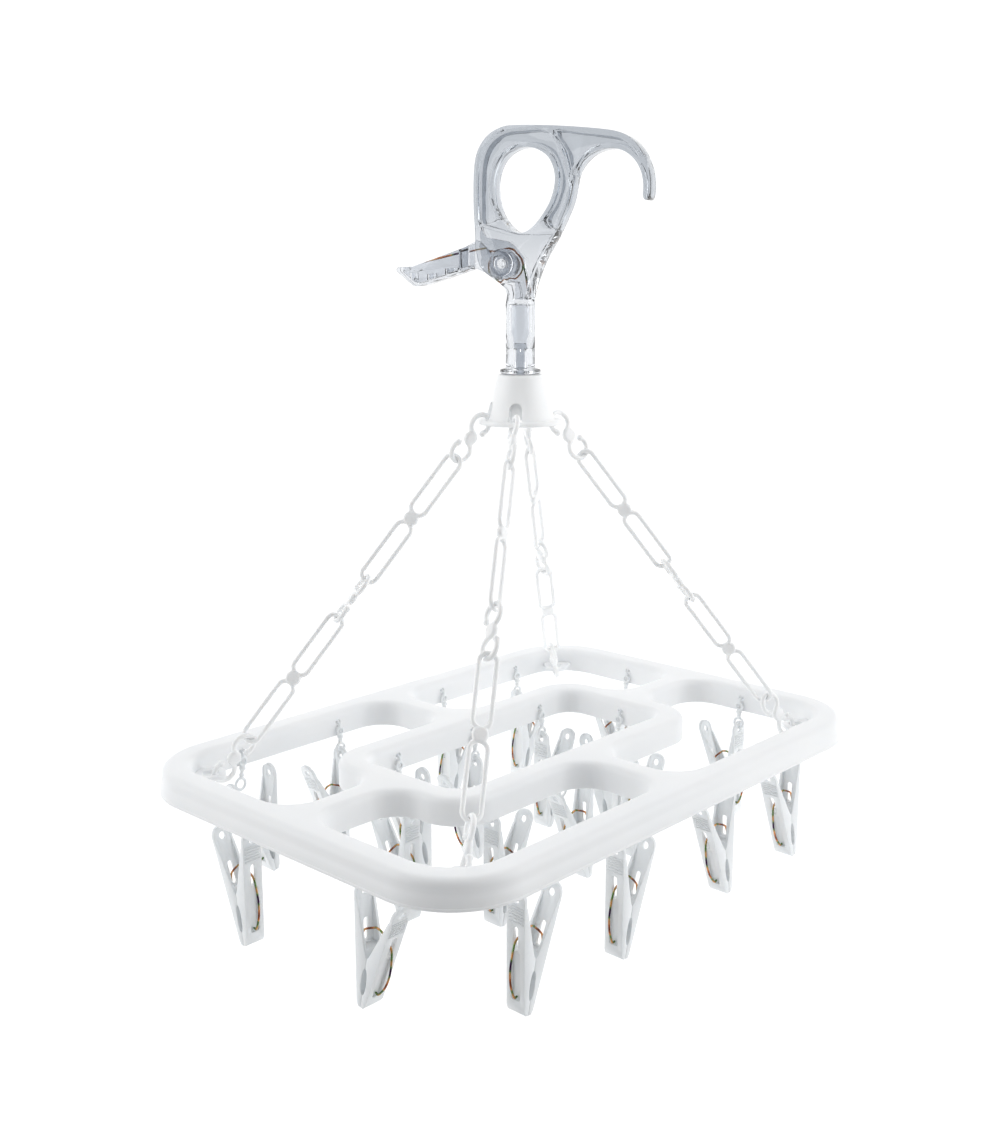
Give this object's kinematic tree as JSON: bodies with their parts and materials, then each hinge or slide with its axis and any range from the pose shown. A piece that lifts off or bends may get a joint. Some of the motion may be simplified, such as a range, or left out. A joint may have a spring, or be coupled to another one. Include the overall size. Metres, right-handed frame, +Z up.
{
  "type": "clip drying hanger",
  "caption": "Rectangular drying hanger with a clear pole hook, swivel hub, link chains, grid frame and spring pegs for small laundry.",
  "frame": {"origin": "top of the hook's inner arc, where the pole bears", "axes": "+Z up; X along the frame's long side and Y along its short side; the hook's plane is turned 71 degrees from X about Z"},
  "size_m": [0.4024, 0.2794, 0.471],
  "materials": {
    "clear_handle": "clear moulded polycarbonate",
    "clear_lever": "clear moulded polycarbonate",
    "white_hub": "satin moulded",
    "white_frame": "satin moulded polypropylene",
    "white_chain": "semi-gloss moulded",
    "white_peg": "semi-gloss moulded",
    "spring_steel": "drawn wire"
  },
  "bodies": {
    "handle": {"hook_body": "clear_handle", "lever_pin": "clear_lever", "lever_spring": "spring_steel"},
    "catch_lever": {"catch_lever": "clear_lever"},
    "hanger": {"hub": "white_hub", "swivel_pin": "white_hub", "frame": "white_frame", "chain_1_upper": "white_chain", "chain_1_lower": "white_chain", "chain_2_upper": "white_chain", "chain_2_lower": "white_chain", "chain_3_upper": "white_chain", "chain_3_lower": "white_chain", "chain_4_upper": "white_chain", "chain_4_lower": "white_chain"},
    "chain_link_1": {"chain_1_middle": "white_chain"},
    "chain_link_2": {"chain_2_middle": "white_chain"},
    "chain_link_3": {"chain_3_middle": "white_chain"},
    "chain_link_4": {"chain_4_middle": "white_chain"},
    "peg_01": {"peg_01_arm": "white_peg"},
    "jaw_01": {"peg_01_jaw": "white_peg"},
    "peg_02": {"peg_02_arm": "white_peg"},
    "jaw_02": {"peg_02_jaw": "white_peg"},
    "peg_03": {"peg_03_arm": "white_peg"},
    "jaw_03": {"peg_03_jaw": "white_peg"},
    "peg_04": {"peg_04_arm": "white_peg"},
    "jaw_04": {"peg_04_jaw": "white_peg"},
    "peg_05": {"peg_05_arm": "white_peg"},
    "jaw_05": {"peg_05_jaw": "white_peg"},
    "peg_06": {"peg_06_arm": "white_peg"},
    "jaw_06": {"peg_06_jaw": "white_peg"},
    "peg_07": {"peg_07_arm": "white_peg"},
    "jaw_07": {"peg_07_jaw": "white_peg"},
    "peg_08": {"peg_08_arm": "white_peg"},
    "jaw_08": {"peg_08_jaw": "white_peg"},
    "peg_09": {"peg_09_arm": "white_peg"},
    "jaw_09": {"peg_09_jaw": "white_peg"},
    "peg_10": {"peg_10_arm": "white_peg"},
    "jaw_10": {"peg_10_jaw": "white_peg"},
    "peg_11": {"peg_11_arm": "white_peg"},
    "jaw_11": {"peg_11_jaw": "white_peg"},
    "peg_12": {"peg_12_arm": "white_peg"},
    "jaw_12": {"peg_12_jaw": "white_peg"},
    "peg_13": {"peg_13_arm": "white_peg"},
    "jaw_13": {"peg_13_jaw": "white_peg"},
    "peg_14": {"peg_14_arm": "white_peg"},
    "jaw_14": {"peg_14_jaw": "white_peg"},
    "peg_15": {"peg_15_arm": "white_peg"},
    "jaw_15": {"peg_15_jaw": "white_peg"},
    "peg_16": {"peg_16_arm": "white_peg"},
    "jaw_16": {"peg_16_jaw": "white_peg"},
    "peg_17": {"peg_17_arm": "white_peg"},
    "jaw_17": {"peg_17_jaw": "white_peg"},
    "peg_18": {"peg_18_arm": "white_peg"},
    "jaw_18": {"peg_18_jaw": "white_peg"},
    "peg_19": {"peg_19_arm": "white_peg"},
    "jaw_19": {"peg_19_jaw": "white_peg"},
    "peg_20": {"peg_20_arm": "white_peg"},
    "jaw_20": {"peg_20_jaw": "white_peg"}
  },
  "joints": [
    {"name": "lever_pivot", "type": "hinge", "parent": "handle", "child": "catch_lever", "pos_m": [-0.02149, 0.0624, -0.0644], "axis": [0.9455, 0.3256, 0], "range_deg": [0, 12], "stiffness_Nm_per_rad": 0.08, "springref_deg": -28.65, "deforming": ["lever_spring"]},
    {"name": "hub_swivel", "type": "hinge", "parent": "handle", "child": "hanger", "pos_m": [-0.01856, 0.05389, -0.1575], "axis": [0, 0, 1], "continuous": true},
    {"name": "link_roll_1", "type": "hinge", "parent": "hanger", "child": "chain_link_1", "pos_m": [0.07014, 0.11238, -0.265], "axis": [0.5118, 0.3375, -0.7901], "range_deg": [-8, 8]},
    {"name": "link_roll_2", "type": "hinge", "parent": "hanger", "child": "chain_link_2", "pos_m": [-0.10726, 0.11238, -0.265], "axis": [-0.5118, 0.3375, -0.7901], "range_deg": [-8, 8]},
    {"name": "link_roll_3", "type": "hinge", "parent": "hanger", "child": "chain_link_3", "pos_m": [-0.10726, -0.00459, -0.265], "axis": [-0.5118, -0.3375, -0.7901], "range_deg": [-8, 8]},
    {"name": "link_roll_4", "type": "hinge", "parent": "hanger", "child": "chain_link_4", "pos_m": [0.07014, -0.00459, -0.265], "axis": [0.5118, -0.3375, -0.7901], "range_deg": [-8, 8]},
    {"name": "peg_swing_01", "type": "hinge", "parent": "hanger", "child": "peg_01", "pos_m": [-0.15256, -0.0676, -0.368], "axis": [1, 0, 0], "range_deg": [0, 25]},
    {"name": "jaw_01", "type": "hinge", "parent": "peg_01", "child": "jaw_01", "pos_m": [-0.14477, -0.0646, -0.42614], "axis": [0, -1, 0], "range_deg": [0, 25], "stiffness_Nm_per_rad": 0.15, "springref_deg": -20.05},
    {"name": "peg_swing_02", "type": "hinge", "parent": "hanger", "child": "peg_02", "pos_m": [-0.06856, -0.0676, -0.368], "axis": [1, 0, 0], "range_deg": [0, 25]},
    {"name": "jaw_02", "type": "hinge", "parent": "peg_02", "child": "jaw_02", "pos_m": [-0.06077, -0.0646, -0.42614], "axis": [0, -1, 0], "range_deg": [0, 25], "stiffness_Nm_per_rad": 0.15, "springref_deg": -20.05},
    {"name": "peg_swing_03", "type": "hinge", "parent": "hanger", "child": "peg_03", "pos_m": [0.02344, -0.0676, -0.368], "axis": [1, 0, 0], "range_deg": [0, 25]},
    {"name": "jaw_03", "type": "hinge", "parent": "peg_03", "child": "jaw_03", "pos_m": [0.03501, -0.0646, -0.42213], "axis": [0, -1, 0], "range_deg": [0, 25], "stiffness_Nm_per_rad": 0.15, "springref_deg": -20.05},
    {"name": "peg_swing_04", "type": "hinge", "parent": "hanger", "child": "peg_04", "pos_m": [0.10144, -0.0676, -0.368], "axis": [1, 0, 0], "range_deg": [0, 25]},
    {"name": "jaw_04", "type": "hinge", "parent": "peg_04", "child": "jaw_04", "pos_m": [0.11301, -0.0646, -0.42213], "axis": [0, -1, 0], "range_deg": [0, 25], "stiffness_Nm_per_rad": 0.15, "springref_deg": -20.05},
    {"name": "peg_swing_05", "type": "hinge", "parent": "hanger", "child": "peg_05", "pos_m": [0.11144, 0.17539, -0.368], "axis": [-1, 0, 0], "range_deg": [0, 25]},
    {"name": "jaw_05", "type": "hinge", "parent": "peg_05", "child": "jaw_05", "pos_m": [0.11923, 0.17239, -0.42614], "axis": [0, -1, 0], "range_deg": [0, 25], "stiffness_Nm_per_rad": 0.15, "springref_deg": -20.05},
    {"name": "peg_swing_06", "type": "hinge", "parent": "hanger", "child": "peg_06", "pos_m": [0.03144, 0.17539, -0.368], "axis": [-1, 0, 0], "range_deg": [0, 25]},
    {"name": "jaw_06", "type": "hinge", "parent": "peg_06", "child": "jaw_06", "pos_m": [0.03923, 0.17239, -0.42614], "axis": [0, -1, 0], "range_deg": [0, 25], "stiffness_Nm_per_rad": 0.15, "springref_deg": -20.05},
    {"name": "peg_swing_07", "type": "hinge", "parent": "hanger", "child": "peg_07", "pos_m": [-0.06856, 0.17539, -0.368], "axis": [-1, 0, 0], "range_deg": [0, 25]},
    {"name": "jaw_07", "type": "hinge", "parent": "peg_07", "child": "jaw_07", "pos_m": [-0.07634, 0.17239, -0.42614], "axis": [0, 1, 0], "range_deg": [0, 25], "stiffness_Nm_per_rad": 0.15, "springref_deg": -20.05},
    {"name": "peg_swing_08", "type": "hinge", "parent": "hanger", "child": "peg_08", "pos_m": [-0.14856, 0.17539, -0.368], "axis": [-1, 0, 0], "range_deg": [0, 25]},
    {"name": "jaw_08", "type": "hinge", "parent": "peg_08", "child": "jaw_08", "pos_m": [-0.13699, 0.17239, -0.42213], "axis": [0, -1, 0], "range_deg": [0, 25], "stiffness_Nm_per_rad": 0.15, "springref_deg": -20.05},
    {"name": "peg_swing_09", "type": "hinge", "parent": "hanger", "child": "peg_09", "pos_m": [-0.20156, 0.0029, -0.368], "axis": [0, -1, 0], "range_deg": [0, 25]},
    {"name": "jaw_09", "type": "hinge", "parent": "peg_09", "child": "jaw_09", "pos_m": [-0.19856, -0.00489, -0.42614], "axis": [-1, 0, 0], "range_deg": [0, 25], "stiffness_Nm_per_rad": 0.15, "springref_deg": -20.05},
    {"name": "peg_swing_10", "type": "hinge", "parent": "hanger", "child": "peg_10", "pos_m": [-0.20156, 0.10089, -0.368], "axis": [0, -1, 0], "range_deg": [0, 25]},
    {"name": "jaw_10", "type": "hinge", "parent": "peg_10", "child": "jaw_10", "pos_m": [-0.19856, 0.10868, -0.42614], "axis": [1, 0, 0], "range_deg": [0, 25], "stiffness_Nm_per_rad": 0.15, "springref_deg": -20.05},
    {"name": "peg_swing_11", "type": "hinge", "parent": "hanger", "child": "peg_11", "pos_m": [0.16444, 0.1049, -0.368], "axis": [0, 1, 0], "range_deg": [0, 25]},
    {"name": "jaw_11", "type": "hinge", "parent": "peg_11", "child": "jaw_11", "pos_m": [0.16144, 0.11268, -0.42614], "axis": [1, 0, 0], "range_deg": [0, 25], "stiffness_Nm_per_rad": 0.15, "springref_deg": -20.05},
    {"name": "peg_swing_12", "type": "hinge", "parent": "hanger", "child": "peg_12", "pos_m": [0.16444, 0.0029, -0.368], "axis": [0, 1, 0], "range_deg": [0, 25]},
    {"name": "jaw_12", "type": "hinge", "parent": "peg_12", "child": "jaw_12", "pos_m": [0.16144, 0.01068, -0.42614], "axis": [1, 0, 0], "range_deg": [0, 25], "stiffness_Nm_per_rad": 0.15, "springref_deg": -20.05},
    {"name": "peg_swing_13", "type": "hinge", "parent": "hanger", "child": "peg_13", "pos_m": [-0.08656, 0.0114, -0.368], "axis": [1, 0, 0], "range_deg": [0, 10]},
    {"name": "jaw_13", "type": "hinge", "parent": "peg_13", "child": "jaw_13", "pos_m": [-0.07877, 0.01439, -0.42614], "axis": [0, -1, 0], "range_deg": [0, 25], "stiffness_Nm_per_rad": 0.15, "springref_deg": -20.05},
    {"name": "peg_swing_14", "type": "hinge", "parent": "hanger", "child": "peg_14", "pos_m": [-0.01856, 0.0114, -0.368], "axis": [1, 0, 0], "range_deg": [0, 10]},
    {"name": "jaw_14", "type": "hinge", "parent": "peg_14", "child": "jaw_14", "pos_m": [-0.00699, 0.01439, -0.42213], "axis": [0, -1, 0], "range_deg": [0, 25], "stiffness_Nm_per_rad": 0.15, "springref_deg": -20.05},
    {"name": "peg_swing_15", "type": "hinge", "parent": "hanger", "child": "peg_15", "pos_m": [0.04944, 0.0114, -0.368], "axis": [1, 0, 0], "range_deg": [0, 10]},
    {"name": "jaw_15", "type": "hinge", "parent": "peg_15", "child": "jaw_15", "pos_m": [0.05723, 0.01439, -0.42614], "axis": [0, -1, 0], "range_deg": [0, 25], "stiffness_Nm_per_rad": 0.15, "springref_deg": -20.05},
    {"name": "peg_swing_16", "type": "hinge", "parent": "hanger", "child": "peg_16", "pos_m": [0.04944, 0.09639, -0.368], "axis": [-1, 0, 0], "range_deg": [0, 10]},
    {"name": "jaw_16", "type": "hinge", "parent": "peg_16", "child": "jaw_16", "pos_m": [0.05723, 0.0934, -0.42614], "axis": [0, -1, 0], "range_deg": [0, 25], "stiffness_Nm_per_rad": 0.15, "springref_deg": -20.05},
    {"name": "peg_swing_17", "type": "hinge", "parent": "hanger", "child": "peg_17", "pos_m": [-0.01856, 0.09639, -0.368], "axis": [-1, 0, 0], "range_deg": [0, 10]},
    {"name": "jaw_17", "type": "hinge", "parent": "peg_17", "child": "jaw_17", "pos_m": [-0.02634, 0.0934, -0.42614], "axis": [0, 1, 0], "range_deg": [0, 25], "stiffness_Nm_per_rad": 0.15, "springref_deg": -20.05},
    {"name": "peg_swing_18", "type": "hinge", "parent": "hanger", "child": "peg_18", "pos_m": [-0.08656, 0.09639, -0.368], "axis": [-1, 0, 0], "range_deg": [0, 10]},
    {"name": "jaw_18", "type": "hinge", "parent": "peg_18", "child": "jaw_18", "pos_m": [-0.07499, 0.0934, -0.42213], "axis": [0, -1, 0], "range_deg": [0, 25], "stiffness_Nm_per_rad": 0.15, "springref_deg": -20.05},
    {"name": "peg_swing_19", "type": "hinge", "parent": "hanger", "child": "peg_19", "pos_m": [-0.11856, 0.05389, -0.368], "axis": [0, -1, 0], "range_deg": [0, 10]},
    {"name": "jaw_19", "type": "hinge", "parent": "peg_19", "child": "jaw_19", "pos_m": [-0.11556, 0.06168, -0.42614], "axis": [1, 0, 0], "range_deg": [0, 25], "stiffness_Nm_per_rad": 0.15, "springref_deg": -20.05},
    {"name": "peg_swing_20", "type": "hinge", "parent": "hanger", "child": "peg_20", "pos_m": [0.08144, 0.0479, -0.368], "axis": [0, 1, 0], "range_deg": [0, 10]},
    {"name": "jaw_20", "type": "hinge", "parent": "peg_20", "child": "jaw_20", "pos_m": [0.07844, 0.05568, -0.42614], "axis": [1, 0, 0], "range_deg": [0, 25], "stiffness_Nm_per_rad": 0.15, "springref_deg": -20.05}
  ]
}
